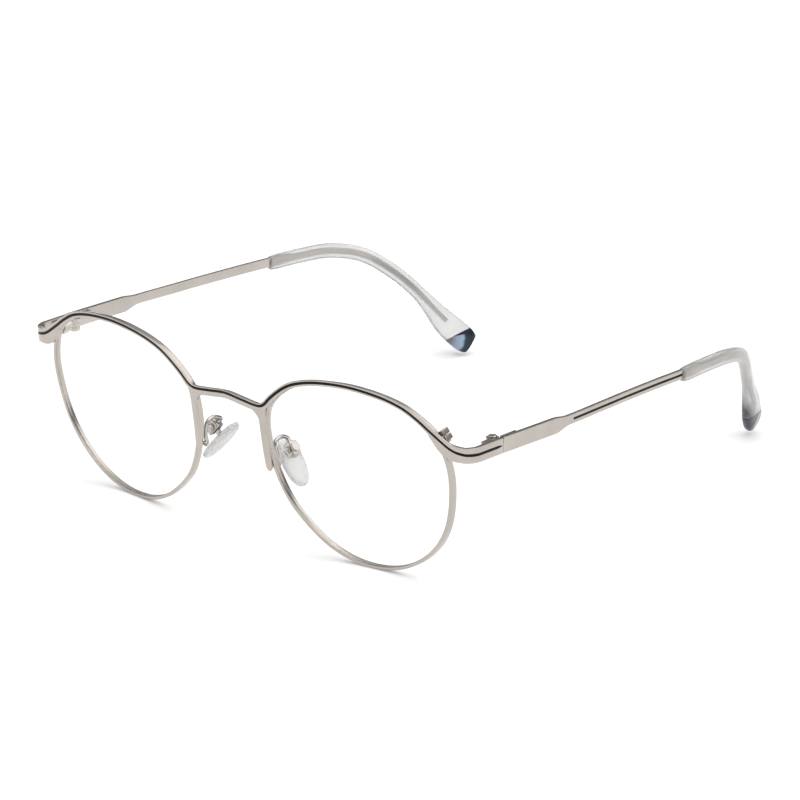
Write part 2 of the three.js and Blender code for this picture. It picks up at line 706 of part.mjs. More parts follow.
add('brow_front', browFront(), SILVER);
add('brow_groove_enamel', browEnamel(), ENAMEL);
add('bridge_bar', bridgeBar(), SILVER);

addPair('rim', cut(rimRing(), splitSlab()), SILVER);
addPair('lens', lens(), CLEAR_LENS);
addPair('closing_block_upper', closingBlock(true), SILVER);
addPair('closing_block_lower', closingBlock(false), SILVER);
addPair('closing_screw', closingScrew(), STEEL);

addPair('pad_arm', padArm(), SILVER);
addPair('pad_box', padBox(), SILVER);
addPair('pad_screw', padScrew(), STEEL);
addPair('pad_core', padCore(), STEEL);
addPair('nose_pad', nosePad(), PAD_PLASTIC);

addPair('hinge_front', hingeFront(), SILVER);
addPair('hinge_temple', hingeTemple(), SILVER);
addPair('hinge_screw', hingeScrew(), STEEL);

addPair('temple', temple(), SILVER);
addPair('temple_groove_enamel', templeEnamel(), ENAMEL);
addPair('temple_tip', templeTip(), TIP_PLASTIC);
addPair('tip_end', tipEnd(), DARK_LAMINATE);

// stand the whole on the table, centred on its footprint
const box = new THREE.Box3().setFromObject(group, true);
group.position.set(0, -(box.min.y + box.max.y) / 2, -box.min.z);

export default group;
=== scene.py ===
# Round wire eyeglasses: detailed pieces, materials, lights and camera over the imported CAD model.
# Lengths are millimetres in the eyeglasses' own frame, and to_row() turns them into the row frame.
import math

import bmesh
import bpy
import numpy as np
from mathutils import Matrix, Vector, geometry


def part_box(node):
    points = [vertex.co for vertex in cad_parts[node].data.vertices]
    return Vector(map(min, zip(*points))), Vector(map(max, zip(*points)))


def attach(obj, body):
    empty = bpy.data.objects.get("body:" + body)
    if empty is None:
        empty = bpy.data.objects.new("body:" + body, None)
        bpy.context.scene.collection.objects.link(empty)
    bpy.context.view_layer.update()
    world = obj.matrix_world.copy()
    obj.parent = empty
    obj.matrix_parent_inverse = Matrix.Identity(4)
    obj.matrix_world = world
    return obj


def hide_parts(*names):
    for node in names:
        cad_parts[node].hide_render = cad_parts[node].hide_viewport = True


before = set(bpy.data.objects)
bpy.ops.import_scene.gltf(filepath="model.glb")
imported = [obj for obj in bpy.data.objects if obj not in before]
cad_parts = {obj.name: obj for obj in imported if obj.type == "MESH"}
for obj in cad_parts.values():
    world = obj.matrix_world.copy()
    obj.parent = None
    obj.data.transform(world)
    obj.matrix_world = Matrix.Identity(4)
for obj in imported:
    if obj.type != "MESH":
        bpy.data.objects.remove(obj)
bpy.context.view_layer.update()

# ---------- driving dimensions, as in the CAD model ----------

FRONT_CURVE, FRONT_FLATTEN = 2.113e-3, 0.985 / 50**4
FRONT_LEAN, LEAN_AT = math.tan(math.radians(-9.23)), 34
CORNER_START, CORNER_RADIUS, SIDE_END_Y = 63.5, 4.5, 20

PLATE, ENDPIECE = 0.6, 1.15
THICKENS_FROM, THICKENS_TO = 61.3, 64.5
LEG_LOW, LEG_ROUNDING = 18.5, 1.5
GROOVE_HALF, GROOVE_DEPTH = 0.32, 0.25
RIM_RADIAL, RIM_FRONT, RIM_BACK = 0.85, 0.65, 2.4
LENS_AT, LENS_HALF, LENS_MIDDLE = 1.2, 0.31, (35.8, 22.6)
LENS_FRONT_BULGE, LENS_BACK_BULGE = 1.7, 1.25
RIM_CENTRE, RIM_RADIUS = (36.65, 23.6), 24.05

CLOSING_ANGLE, CLOSING_OUTSET = math.radians(29.5), 1.45
CLOSING_SIZE, SPLIT, CLOSING_SEAT = (1.7, 2.4, 1.3), 0.14, 1.41

HINGE_X, HINGE_Y, HINGE_LOW, HINGE_HIGH, HINGE_RADIUS = 64.6, 19.6, 32.3, 35.3, 1.5
KNUCKLE = (HINGE_HIGH - HINGE_LOW) / 3
HINGE_BODY_FROM, HINGE_BODY_TO, HINGE_ARM_FROM, LEAF_FROM, LEAF_TO = 15.6, 18.1, 17.9, 21.25, 26.5
GAP = 0.04  # between neighbouring pieces

WIDE, NARROW_UP, NARROW_DOWN, THICK, THIN = 1.85, 1.4, 0.85, 1.15, 0.95
STEP_FROM, STEP_TO, SLEEVE_AT, CORE_END, CORE_HALF = 18.6, 23.8, 68.4, 127.6, 0.7
TEMPLE_GROOVE_FROM, TEMPLE_GROOVE_TO, TEMPLE_GROOVE_UP = 25, 68, 0.28
TEMPLE_GROOVE_HALF, TEMPLE_GROOVE_DEPTH, TEMPLE_LINE_HALF = 0.28, 0.22, 0.27
SLEEVE_UP, SLEEVE_ACROSS, PADDLE_UP, PADDLE_ACROSS = 1.84, 1.17, 3.4, 1.53
PADDLE_FROM, PADDLE_TO, PADDLE_DROP = 115.6, 131.2, 0.54
TIP_ROUNDNESS = 2 / 2.6  # the power of a superellipse; 1 is an ellipse
END_ROUNDING, END_UP, END_ACROSS, LAMINATE_TOP = 4.3, 0.55, 0.5, 5.7

PAD_CENTRE, PAD_SIZE = np.array([11.1, 12.4, 18.95]), (12.9, 6.6, 2.6)
PAD_SPLAY, PAD_FRONTAL, PAD_TILT = math.radians(41), math.radians(4), math.radians(9)
BOX_ALONG, BOX_DEEP, BOX_WIDE = 3.6, 2.6, 2.4
PAD_STAND, PAD_UP, PAD_FORE = 3.2, 1.75, 1.4
CUP_WALL, HOLLOW_FORWARD, HOLLOW_DEEP, BUTTON_RADIUS, WIRE_RADIUS = 0.45, 0.7, 3.1, 1.15, 0.48

# the CAD model stands on the table, centred on its footprint: the hinge screw says by how much it moved
screw_low, screw_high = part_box("hinge_screw_left")
SHIFT = np.array([0, (screw_low.y + screw_high.y) * 500 - HINGE_Y, screw_low.z * 1000 - (HINGE_LOW - 0.3)])


def to_row(points):
    return (np.asarray(points, float) + SHIFT) / 1000


# ---------- camera ----------

AZIMUTH, ELEVATION = math.radians(40.839), math.radians(19.155)

camera = bpy.data.objects.new("camera", bpy.data.cameras.new("camera"))
bpy.context.scene.collection.objects.link(camera)
camera.data.sensor_width = 36
camera.data.lens = 284.65
camera.data.clip_end = 20
camera.location = to_row((921.09, -1002.92, 507.28))
camera.rotation_euler = (math.pi / 2 - ELEVATION, 0, AZIMUTH)
bpy.context.scene.camera = camera

# ---------- curves ----------


def lerp(a, b, t):
    return a + (b - a) * t


def smooth(x, low, high):
    t = min(max((x - low) / (high - low), 0), 1)
    return t * t * (3 - 2 * t)


def spline(points, closed=False, steps=12, power=0.5):
    """Samples of a Catmull-Rom curve; power 0.5 spaces its knots by the root of the distance, 0 evenly."""
    p = np.asarray(points, float)
    n = len(p)
    if closed:
        padded = np.vstack([p[-1:], p, p[:2]])
        spans = n
    else:
        padded = np.vstack([2 * p[0] - p[1], p, 2 * p[-1] - p[-2]])
        spans = n - 1
    samples = []
    for i in range(spans):
        a, b, c, d = padded[i : i + 4]
        k0, k1, k2 = (max(np.linalg.norm(v - u), 1e-6) ** power for u, v in ((a, b), (b, c), (c, d)))
        m1 = ((b - a) / k0 - (c - a) / (k0 + k1) + (c - b) / k1) * k1
        m2 = ((c - b) / k1 - (d - b) / (k1 + k2) + (d - c) / k2) * k1
        for j in range(steps):
            t = j / steps
            samples.append(
                (2 * t**3 - 3 * t**2 + 1) * b + (t**3 - 2 * t**2 + t) * m1
                + (3 * t**2 - 2 * t**3) * c + (t**3 - t**2) * m2
            )
    if not closed:
        samples.append(p[-1])
    return np.array(samples)


def profile(points):
    """A smooth curve of value over position, read off at any position."""
    x, y = spline(points, steps=16, power=0).T
    return lambda at: float(np.interp(at, x, y))


def even(line, count, closed=False):
    """Points spaced evenly along a sampled line, with their directions."""
    p = np.vstack([line, line[:1]]) if closed else np.asarray(line, float)
    length = np.concatenate([[0], np.cumsum(np.linalg.norm(np.diff(p, axis=0), axis=1))])
    at = np.linspace(0, length[-1], count + 1)[:count] if closed else np.linspace(0, length[-1], count)
    points = np.stack([np.interp(at, length, p[:, k]) for k in range(p.shape[1])], axis=1)
    if closed:
        direction = np.roll(points, -1, axis=0) - np.roll(points, 1, axis=0)
    else:
        direction = np.gradient(points, axis=0)
    return points, direction / np.linalg.norm(direction, axis=1)[:, None]


def spaced(*stretches):
    """Values through joined stretches, each one (from, to, number of steps)."""
    values = [stretches[0][0]]
    for low, high, count in stretches:
        values += [lerp(low, high, i / count) for i in range(1, count + 1)]
    return values


# ---------- front surface ----------


def plan_y(x):
    return FRONT_CURVE * x * x - FRONT_FLATTEN * x**4 + FRONT_LEAN * (LEAN_AT - 45)


def plan_slope(x):
    return 2 * FRONT_CURVE * x - 4 * FRONT_FLATTEN * x**3


def front_y(x, z):
    return plan_y(x) + FRONT_LEAN * (z - LEAN_AT)


START_ANGLE = math.atan(plan_slope(CORNER_START))
CORNER_END = CORNER_START + CORNER_RADIUS * (math.pi / 2 - START_ANGLE)
CORNER_X = CORNER_START - CORNER_RADIUS * math.sin(START_ANGLE)
CORNER_Y = plan_y(CORNER_START) + CORNER_RADIUS * math.cos(START_ANGLE)
SIDE_X = CORNER_X + CORNER_RADIUS
PLATE_END = CORNER_END + SIDE_END_Y - CORNER_Y


def on_plate(s, z, depth):
    """A point of the brow plate: s runs along the plate from the middle, depth goes in from its face."""
    side, run = (-1 if s < 0 else 1), abs(s)
    lean = FRONT_LEAN * (z - LEAN_AT) * (1 - smooth(run, CORNER_START, CORNER_END))
    if run <= CORNER_START:
        x, y, angle = run, plan_y(run), math.atan(plan_slope(run))
    elif run <= CORNER_END:
        angle = START_ANGLE + (run - CORNER_START) / CORNER_RADIUS
        x = CORNER_X + CORNER_RADIUS * math.sin(angle)
        y = CORNER_Y - CORNER_RADIUS * math.cos(angle)
    else:
        x, y, angle = SIDE_X, CORNER_Y + run - CORNER_END, math.pi / 2
    return side * (x - depth * math.sin(angle)), y + lean + depth * math.cos(angle), z


groove_z = profile([
    (-5, 35.3), (0, 35.88), (5, 35.3), (9.3, 34.8), (11.5, 35.4), (14, 37.85), (18, 41), (22, 42.97),
    (28, 44.45), (36, 45.08), (44, 44.42), (50, 42.93), (54, 40.8), (58, 37.9), (62, 35.2), (65, 34.3),
    (68, 34), (80, 33.87),
])
above = profile([(0, 0.6), (10, 0.68), (30, 0.68), (54, 0.8), (60, 1.1), (68, 1.6), (80, 1.65)])
below = profile([
    (0, 1.45), (8, 1.45), (12, 1), (16, 0.8), (40, 0.8), (55.5, 0.8), (58, 1.4), (60.5, 2.5), (62.5, 2.75),
    (66, 2.1), (70, 1.95), (80, 1.93),
])
leg_inner = profile([
    (18.5, 10.8), (18.9, 10.3), (19.8, 10), (22, 9.8), (26, 9.65), (31, 9.6), (32, 9.3), (33, 8.4), (34, 7.4),
    (36, 6.5),
])
leg_outer = profile([
    (18.5, 11), (18.9, 11.4), (19.8, 11.7), (22, 11.6), (26, 11.45), (31, 11.45), (33.4, 11.65), (35, 12.2),
    (36, 12.6),
])


def beside(s, offset):
    """A point at a distance square to the groove, as (s, height)."""
    run = abs(s)
    slope = (groove_z(run + 0.2) - groove_z(run - 0.2)) / 0.4
    length = math.hypot(1, slope)
    side = -1 if s < 0 else 1
    at = s - side * offset * slope / length if run < CORNER_END else s
    return at, groove_z(run) + offset / length


# ---------- meshes ----------


def swept(rings, closed=False):
    """Rings of points joined into a tube, capped at its ends unless it closes on itself."""
    rings = np.asarray(rings, float)
    n, m = rings.shape[:2]
    faces = []
    for i in range(n if closed else n - 1):
        for j in range(m):
            a, b = i * m + j, i * m + (j + 1) % m
            over = ((i + 1) % n - i) * m
            faces.append((a, b, b + over, a + over))
    if not closed:
        faces.append(tuple(range(m)))
        faces.append(tuple(range((n - 1) * m, n * m)))
    return rings.reshape(-1, 3), faces


def rounded(corners):
    """A closed outline through (u, v, radius) corners, each cut off with a curve."""
    steps = 4
    points = []
    n = len(corners)
    for i, (u, v, radius) in enumerate(corners):
        here = np.array([u, v], float)
        if radius == 0:
            points.append(here)
            continue
        before = np.array(corners[i - 1][:2]) - here
        after = np.array(corners[(i + 1) % n][:2]) - here
        start = here + before / np.linalg.norm(before) * radius
        end = here + after / np.linalg.norm(after) * radius
        for j in range(steps + 1):
            t = j / steps
            points.append((1 - t) ** 2 * start + 2 * t * (1 - t) * here + t**2 * end)
    return np.array(points)


def temporary(shape):
    """A short-lived object for a boolean."""
    mesh = bpy.data.meshes.new("temporary")
    mesh.from_pydata([tuple(p) for p in shape[0]], [], shape[1])
    work = bmesh.new()
    work.from_mesh(mesh)
    bmesh.ops.recalc_face_normals(work, faces=work.faces)
    work.to_mesh(mesh)
    work.free()
    obj = bpy.data.objects.new("temporary", mesh)
    bpy.context.scene.collection.objects.link(obj)
    return obj


def combined(operation, base, *tools):
    """base with each tool joined on (UNION) or cut away (DIFFERENCE)."""
    objects = [temporary(shape) for shape in (base, *tools)]
    for tool in objects[1:]:
        modifier = objects[0].modifiers.new("combine", "BOOLEAN")
        modifier.operation = operation
        modifier.solver = "EXACT"
        modifier.object = tool
    bpy.context.view_layer.update()
    made = objects[0].evaluated_get(bpy.context.evaluated_depsgraph_get()).to_mesh()
    shape = np.array([v.co for v in made.vertices]), [tuple(f.vertices) for f in made.polygons]
    for obj in objects:
        bpy.data.objects.remove(obj)
    return shape


def both(*shapes):
    """Several closed shapes as one mesh."""
    points, faces = [], []
    for p, f in shapes:
        base = sum(len(q) for q in points)
        points.append(np.asarray(p))
        faces += [tuple(i + base for i in face) for face in f]
    return np.vstack(points), faces


def block(centre, axes, sizes, bevel):
    """A block standing on three axes, with rounded edges."""
    work = bmesh.new()
    bmesh.ops.create_cube(work, size=1)
    bmesh.ops.scale(work, vec=sizes, verts=work.verts)
    bmesh.ops.bevel(work, geom=work.edges[:], offset=bevel, segments=3, affect="EDGES", profile=0.5)
    basis = np.array(axes, float)
    points = np.array([v.co for v in work.verts]) @ basis + np.array(centre, float)
    faces = [tuple(v.index for v in f.verts) for f in work.faces]
    work.free()
    return points, faces


def turned(start, end, outline, sides=40):
    """A turned piece on the axis from start to end: outline gives (distance along it, radius)."""
    start, end = np.array(start, float), np.array(end, float)
    along = (end - start) / np.linalg.norm(end - start)
    helper = np.array([0, 0, 1.0]) if abs(along[2]) < 0.9 else np.array([1.0, 0, 0])
    u = np.cross(along, helper)
    u /= np.linalg.norm(u)
    v = np.cross(along, u)
    angles = np.linspace(0, 2 * math.pi, sides, endpoint=False)
    circle = np.cos(angles)[:, None] * u + np.sin(angles)[:, None] * v
    return swept([start + along * d + circle * r for d, r in outline])


def drum(start, end, radius, bevel=0.08):
    """A round piece from start to end, with rounded edges."""
    length = float(np.linalg.norm(np.array(end) - np.array(start)))
    quarter = np.linspace(0, math.pi / 2, 4)
    edge = [(bevel * (1 - math.cos(a)), radius - bevel * (1 - math.sin(a))) for a in quarter]
    return turned(start, end, edge + [(length - d, r) for d, r in reversed(edge)], sides=48)


def screw_head(seat, along, radius, height, slot):
    """A domed head with a slot, standing on its seat."""
    along = np.array(along, float) / np.linalg.norm(along)
    seat = np.array(seat, float)
    dome = [(0, radius * 0.96), (0.05, radius), (height * 0.55, radius)]
    dome += [
        (height * (0.55 + 0.45 * math.sin(a)), radius * (0.7 + 0.3 * math.cos(a)))
        for a in np.linspace(0.2, math.pi / 2, 5)
    ]
    dome.append((height * 1.03, radius * 0.3))
    head = turned(seat, seat + along, dome)
    helper = np.array([0, 0, 1.0]) if abs(along[2]) < 0.9 else np.array([0.8, 0.6, 0])
    across = np.cross(along, helper)
    across /= np.linalg.norm(across)
    wide = np.cross(along, across)
    cutter = block(seat + along * height, (across, wide, along), (radius * 3, slot, height * 0.9), slot * 0.1)
    return combined("DIFFERENCE", head, cutter)


def inset(outline, distance):
    """A closed outline moved inwards, square to itself."""
    after = np.roll(outline, -1, axis=0) - outline
    before = outline - np.roll(outline, 1, axis=0)
    normals = []
    for a, b in zip(before, after):
        n1 = np.array([-a[1], a[0]]) / max(np.linalg.norm(a), 1e-9)
        n2 = np.array([-b[1], b[0]]) / max(np.linalg.norm(b), 1e-9)
        n = n1 + n2
        normals.append(n / max(n @ n / 2, 0.6))
    return outline + np.array(normals) * distance


BACK = 10  # stands for the back of a plate while its thickness isn't known yet


def pressed(outline, slot, slot_depth, bevel, cuts, thickness, place):
    """A pressed plate: a flat outline with round edges and a sunk slot, sliced at cuts and bent by place."""
    work = bmesh.new()
    arc = [(bevel * (1 - math.sin(a)), bevel * (1 - math.cos(a))) for a in np.linspace(0, math.pi / 2, 4)]

    def ring(points, w):
        return [work.verts.new((u, v, w)) for u, v in points]

    def join(first, second):
        count = len(first)
        for i in range(count):
            j = (i + 1) % count
            work.faces.new((first[i], first[j], second[j], second[i]))

    def fill(outer, hole=()):
        loops = [[v.co.copy() for v in loop] for loop in (outer, hole) if len(loop)]
        verts = [v for loop in (outer, hole) for v in loop]
        for face in geometry.tessellate_polygon(loops):
            work.faces.new([verts[i] for i in face])

    rings = [ring(inset(outline, d), w) for d, w in arc]
    rings += [ring(inset(outline, d), BACK - w) for d, w in reversed(arc)]
    for first, second in zip(rings, rings[1:]):
        join(first, second)
    lip = 0.05
    slot_rings = [ring(inset(slot, -lip), 0), ring(inset(slot, -lip * 0.3), lip * 0.3), ring(slot, lip)]
    slot_rings.append(ring(slot, slot_depth))
    for first, second in zip(slot_rings, slot_rings[1:]):
        join(first, second)
    fill(rings[0], slot_rings[0])
    fill(slot_rings[-1])
    fill(rings[-1])
    for at in cuts:
        everything = work.verts[:] + work.edges[:] + work.faces[:]
        bmesh.ops.bisect_plane(work, geom=everything, dist=1e-4, plane_co=(at, 0, 0), plane_no=(1, 0, 0))
    bmesh.ops.recalc_face_normals(work, faces=work.faces)
    solid = max(bevel, slot_depth)
    points = []
    for vert in work.verts:
        u, v, w = vert.co
        thick = thickness(u)
        if w > BACK - solid:
            w = thick - (BACK - w)
        elif w > solid:
            w = lerp(solid, thick - solid, (w - solid) / (BACK - 2 * solid))
        points.append(place(u, v, w))
    work.verts.index_update()
    faces = [tuple(v.index for v in f.verts) for f in work.faces]
    work.free()
    return np.array(points), faces


def mirrored(shape):
    """A mesh's mirror image on the other side of the nose."""
    return np.asarray(shape[0]) * (-1, 1, 1), [tuple(reversed(f)) for f in shape[1]]


def add(name, shape, body, node, slot, material, sharp=35):
    """Makes one piece that stands for a CAD node and rides on its body."""
    mesh = bpy.data.meshes.new(name)
    mesh.from_pydata([tuple(p) for p in to_row(shape[0])], [], shape[1])
    work = bmesh.new()
    work.from_mesh(mesh)
    bmesh.ops.recalc_face_normals(work, faces=work.faces)
    work.to_mesh(mesh)
    work.free()
    mesh.polygons.foreach_set("use_smooth", [True] * len(mesh.polygons))
    mesh.set_sharp_from_angle(angle=math.radians(sharp))
    mesh.materials.append(material)
    obj = bpy.data.objects.new(name, mesh)
    bpy.context.scene.collection.objects.link(obj)
    modifier = obj.modifiers.new("weighted_normals", "WEIGHTED_NORMAL")
    modifier.keep_sharp = True
    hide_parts(node)
    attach(obj, body)
    return obj


def add_pair(name, shape, bodies, node, slot, material, **options):
    """The left piece and its mirror image; bodies has {} where the side's name goes."""
    for side, made in (("left", shape), ("right", mirrored(shape))):
        add(f"{name}_{side}", made, bodies.format(side), f"{node}_{side}", slot, material, **options)


# ---------- materials ----------


def material(name, **inputs):
    """A material with one Principled shader; keywords are its sockets, with _ for a space."""
    made = bpy.data.materials.new(name)
    made.use_nodes = True
    shader = made.node_tree.nodes["Principled BSDF"]
    for key, value in inputs.items():
        shader.inputs[key.replace("_", " ")].default_value = value
    return made, made.node_tree, shader


def noise(tree, scale, detail, stretch=(1, 1, 1)):
    """Noise over the object's own coordinates; scale is in features per metre."""
    where = tree.nodes.new("ShaderNodeTexCoord")
    mapping = tree.nodes.new("ShaderNodeMapping")
    mapping.inputs["Scale"].default_value = stretch
    made = tree.nodes.new("ShaderNodeTexNoise")
    made.inputs["Scale"].default_value = scale
    made.inputs["Detail"].default_value = detail
    made.inputs["Roughness"].default_value = 0.5
    tree.links.new(where.outputs["Object"], mapping.inputs["Vector"])
    tree.links.new(mapping.outputs["Vector"], made.inputs["Vector"])
    return made.outputs["Fac"]


def ramp(tree, value, *stops):
    """Colours over a value: stops are (position, colour)."""
    made = tree.nodes.new("ShaderNodeValToRGB")
    elements = made.color_ramp.elements
    while len(elements) < len(stops):
        elements.new(0.5)
    for element, (position, colour) in zip(elements, stops):
        element.position = position
        element.color = (*colour, 1)
    tree.links.new(value, made.inputs["Fac"])
    return made.outputs["Color"]


def scaled(tree, value, low, high):
    made = tree.nodes.new("ShaderNodeMapRange")
    made.inputs["To Min"].default_value = low
    made.inputs["To Max"].default_value = high
    tree.links.new(value, made.inputs["Value"])
    return made.outputs["Result"]


def bump(tree, shader, height, strength, distance):
    made = tree.nodes.new("ShaderNodeBump")
    made.inputs["Strength"].default_value = strength
    made.inputs["Distance"].default_value = distance
    tree.links.new(height, made.inputs["Height"])
    tree.links.new(made.outputs["Normal"], shader.inputs["Normal"])


def position(tree, axis):
    """The object's own coordinate along one axis, in metres."""
    where = tree.nodes.new("ShaderNodeTexCoord")
    split = tree.nodes.new("ShaderNodeSeparateXYZ")
    tree.links.new(where.outputs["Object"], split.inputs["Vector"])
    return split.outputs[axis]


def spread(tree, value, low, high):
    """The value, stretched so that low becomes 0 and high becomes 1."""
    made = tree.nodes.new("ShaderNodeMapRange")
    made.inputs["From Min"].default_value = low
    made.inputs["From Max"].default_value = high
    tree.links.new(value, made.inputs["Value"])
    return made.outputs["Result"]


def plus(tree, first, second, share=1.0):
    """The first value plus a share of the second."""
    made = tree.nodes.new("ShaderNodeMath")
    made.operation = "MULTIPLY_ADD"
    made.inputs[1].default_value = share
    tree.links.new(second, made.inputs[0])
    tree.links.new(first, made.inputs[2])
    return made.outputs["Value"]


def mixed(tree, share, first, second):
    """The first colour where the share is 0, and the second where it is 1."""
    made = tree.nodes.new("ShaderNodeMix")
    made.data_type = "RGBA"
    tree.links.new(share, made.inputs["Factor"])
    tree.links.new(first, made.inputs["A"])
    tree.links.new(second, made.inputs["B"])
    return made.outputs["Result"]


def silver():
    """Satin plated metal: fine blasted grain, and faint cloudy changes of tone and gloss."""
    made, tree, shader = material("satin_silver", Metallic=1)
    clouds = noise(tree, 160, 4)
    colour = ramp(tree, clouds, (0.3, (0.445, 0.407, 0.370)), (0.7, (0.500, 0.460, 0.422)))
    tree.links.new(colour, shader.inputs["Base Color"])
    tree.links.new(scaled(tree, noise(tree, 900, 5), 0.16, 0.26), shader.inputs["Roughness"])
    bump(tree, shader, noise(tree, 9000, 2), 0.1, 0.00001)
    return made


def polished():
    """Bright plated wire and screws, with faint wear."""
    made, tree, shader = material("polished_steel", Metallic=1)
    colour = ramp(tree, noise(tree, 700, 3), (0.3, (0.43, 0.41, 0.39)), (0.7, (0.52, 0.50, 0.48)))
    tree.links.new(colour, shader.inputs["Base Color"])
    tree.links.new(scaled(tree, noise(tree, 3000, 3), 0.06, 0.15), shader.inputs["Roughness"])
    return made


def enamel():
    """Black enamel in the pressed line, a little uneven."""
    made, tree, shader = material("black_enamel", Specular_IOR_Level=0.12)
    colour = ramp(tree, noise(tree, 1500, 2), (0.3, (0.003, 0.003, 0.003)), (0.7, (0.008, 0.007, 0.006)))
    tree.links.new(colour, shader.inputs["Base Color"])
    tree.links.new(scaled(tree, noise(tree, 4000, 3), 0.3, 0.45), shader.inputs["Roughness"])
    return made


def lens_glass():
    """Clear demonstration lenses with hardly any tint."""
    made, tree, shader = material("clear_lens", Transmission_Weight=1, IOR=1.45, Alpha=0.05, Roughness=0)
    colour = ramp(tree, noise(tree, 30, 2), (0.3, (0.97, 0.98, 0.985)), (0.7, (0.99, 0.995, 1)))
    tree.links.new(colour, shader.inputs["Base Color"])
    return made


def pad_plastic():
    """Clear pad plastic, slightly milky, with an uneven surface."""
    made, tree, shader = material("pad_plastic", Transmission_Weight=0.6, IOR=1.4, Alpha=0.8)
    colour = ramp(tree, noise(tree, 900, 4), (0.35, (0.62, 0.615, 0.605)), (0.65, (0.76, 0.755, 0.745)))
    tree.links.new(colour, shader.inputs["Base Color"])
    tree.links.new(scaled(tree, noise(tree, 700, 3), 0.08, 0.3), shader.inputs["Roughness"])
    bump(tree, shader, noise(tree, 1100, 3), 0.5, 0.0001)
    return made


def tip_plastic():
    """Clear grey plastic with faint clouds; the left tip is smoky where it meets the dark end."""
    made, tree, shader = material("tip_plastic", Transmission_Weight=0.66, IOR=1.34, Alpha=0.9)
    clouds = ramp(tree, noise(tree, 120, 3), (0.3, (0.73, 0.73, 0.725)), (0.7, (0.79, 0.79, 0.785)))
    streaks = noise(tree, 420, 3, stretch=(1, 1, 0.25))
    smoke = ramp(tree, streaks, (0.4, (0.05, 0.05, 0.065)), (0.65, (0.25, 0.25, 0.27)))
    # the smoke begins at a slanted plane, low down on the left side only
    aslant = plus(tree, plus(tree, position(tree, "Z"), position(tree, "X"), 1.1), position(tree, "Y"), 1.1)
    smoky = mixed(tree, spread(tree, aslant, 0.1325, 0.1290), clouds, smoke)
    smoky = mixed(tree, spread(tree, position(tree, "Z"), 0.020, 0.014), clouds, smoky)
    colour = mixed(tree, spread(tree, position(tree, "X"), -0.01, 0.01), clouds, smoky)
    tree.links.new(colour, shader.inputs["Base Color"])
    tree.links.new(scaled(tree, noise(tree, 400, 3), 0.02, 0.06), shader.inputs["Roughness"])
    return made


def laminate():
    """Layers of navy and brown, cut at a slant, with pale blue and pale grey bands that are painted
    reflections of the white surroundings; the two ends show different layers.
    """
    made, tree, shader = material("dark_laminate", IOR=1.5, Specular_IOR_Level=0.25)
    height = position(tree, "Z")
    slant = plus(tree, position(tree, "Y"), height, -0.35)
    slant = plus(tree, slant, noise(tree, 500, 2), 0.0012)
    layers = spread(tree, slant, 0.062, 0.071)
    # the right end's pale blue stops (0.16 to 0.33) are a painted reflection of the white surroundings, not a
    # layer
    right_end_and_painted_reflection = ramp(
        tree, layers, (0.02, (0.16, 0.15, 0.16)), (0.16, (0.26, 0.32, 0.42)), (0.33, (0.30, 0.38, 0.50)),
        (0.42, (0.020, 0.042, 0.055)), (0.66, (0.014, 0.018, 0.022)), (0.9, (0.012, 0.036, 0.045)),
    )
    # the left end's pale grey stop at 0.5 is a painted reflection of the white surroundings
    left_end_and_painted_reflection = ramp(
        tree, layers, (0.1, (0.035, 0.040, 0.058)), (0.42, (0.055, 0.060, 0.085)), (0.5, (0.42, 0.40, 0.41)),
        (0.6, (0.20, 0.185, 0.19)), (0.9, (0.13, 0.12, 0.125)),
    )
    side = spread(tree, position(tree, "X"), -0.01, 0.01)
    colour = mixed(tree, side, right_end_and_painted_reflection, left_end_and_painted_reflection)
    # a dark rim along the cut, and a brown edge at the bottom
    rim = ramp(tree, noise(tree, 900, 2), (0.3, (0.014, 0.018, 0.026)), (0.7, (0.03, 0.028, 0.036)))
    base = ramp(tree, noise(tree, 700, 2), (0.3, (0.05, 0.030, 0.024)), (0.7, (0.12, 0.075, 0.055)))
    colour = mixed(tree, spread(tree, height, 0.0055, 0.0058), colour, rim)
    bottom = plus(tree, height, position(tree, "X"), -0.02)
    colour = mixed(tree, spread(tree, bottom, 0.0014, 0.0004), colour, base)
    tree.links.new(colour, shader.inputs["Base Color"])
    tree.links.new(scaled(tree, noise(tree, 900, 3), 0.1, 0.2), shader.inputs["Roughness"])
    return made


SILVER, POLISHED, ENAMEL, LENS = silver(), polished(), enamel(), lens_glass()
PAD, TIP, LAMINATE = pad_plastic(), tip_plastic(), laminate()

# ---------- brow plate, its line and the bridge bar ----------


def root(value, low, high):
    """Where value crosses nought between low and high."""
    rising = value(low) < value(high)
    for _ in range(40):
        middle = (low + high) / 2
        if (value(middle) < 0) == rising:
            low = middle
        else:
            high = middle
    return (low + high) / 2


def brow_outline():
    """The flat outline of the plate with its two legs, as (s, height)."""

    def under(s):
        return beside(s, -below(abs(s)))

    inner = root(lambda s: under(s)[0] - leg_inner(under(s)[1]), 5, 9)
    outer = root(lambda s: under(s)[0] - leg_outer(under(s)[1]), 11, 13.5)
    tip = [LEG_LOW + LEG_ROUNDING * (1 - math.cos(a)) for a in np.linspace(0, math.pi / 2, 8)]
    leg_straight = LEG_LOW + LEG_ROUNDING
    down = spaced((under(inner)[1], 30, 16), (30, leg_straight, 14)) + tip[::-1][1:]
    up = tip[:-1] + spaced((leg_straight, 30, 14), (30, under(outer)[1], 16))
    path = [under(s) for s in spaced((0, inner, 16))[:-1]]
    path += [(leg_inner(z), z) for z in down]
    path += [(leg_outer(z), z) for z in up]
    beyond = spaced((outer, 16, 10), (16, 56, 60), (56, CORNER_END, 40), (CORNER_END, PLATE_END, 12))
    path += [under(s) for s in beyond[1:]]
    over = [beside(s, above(abs(s))) for s in spaced((PLATE_END, 56, 50), (56, 16, 60), (16, 0, 32))]
    right = np.array(path + over)
    left = right[::-1] * (-1, 1)
    return np.vstack([right[:-1], left[:-1]])


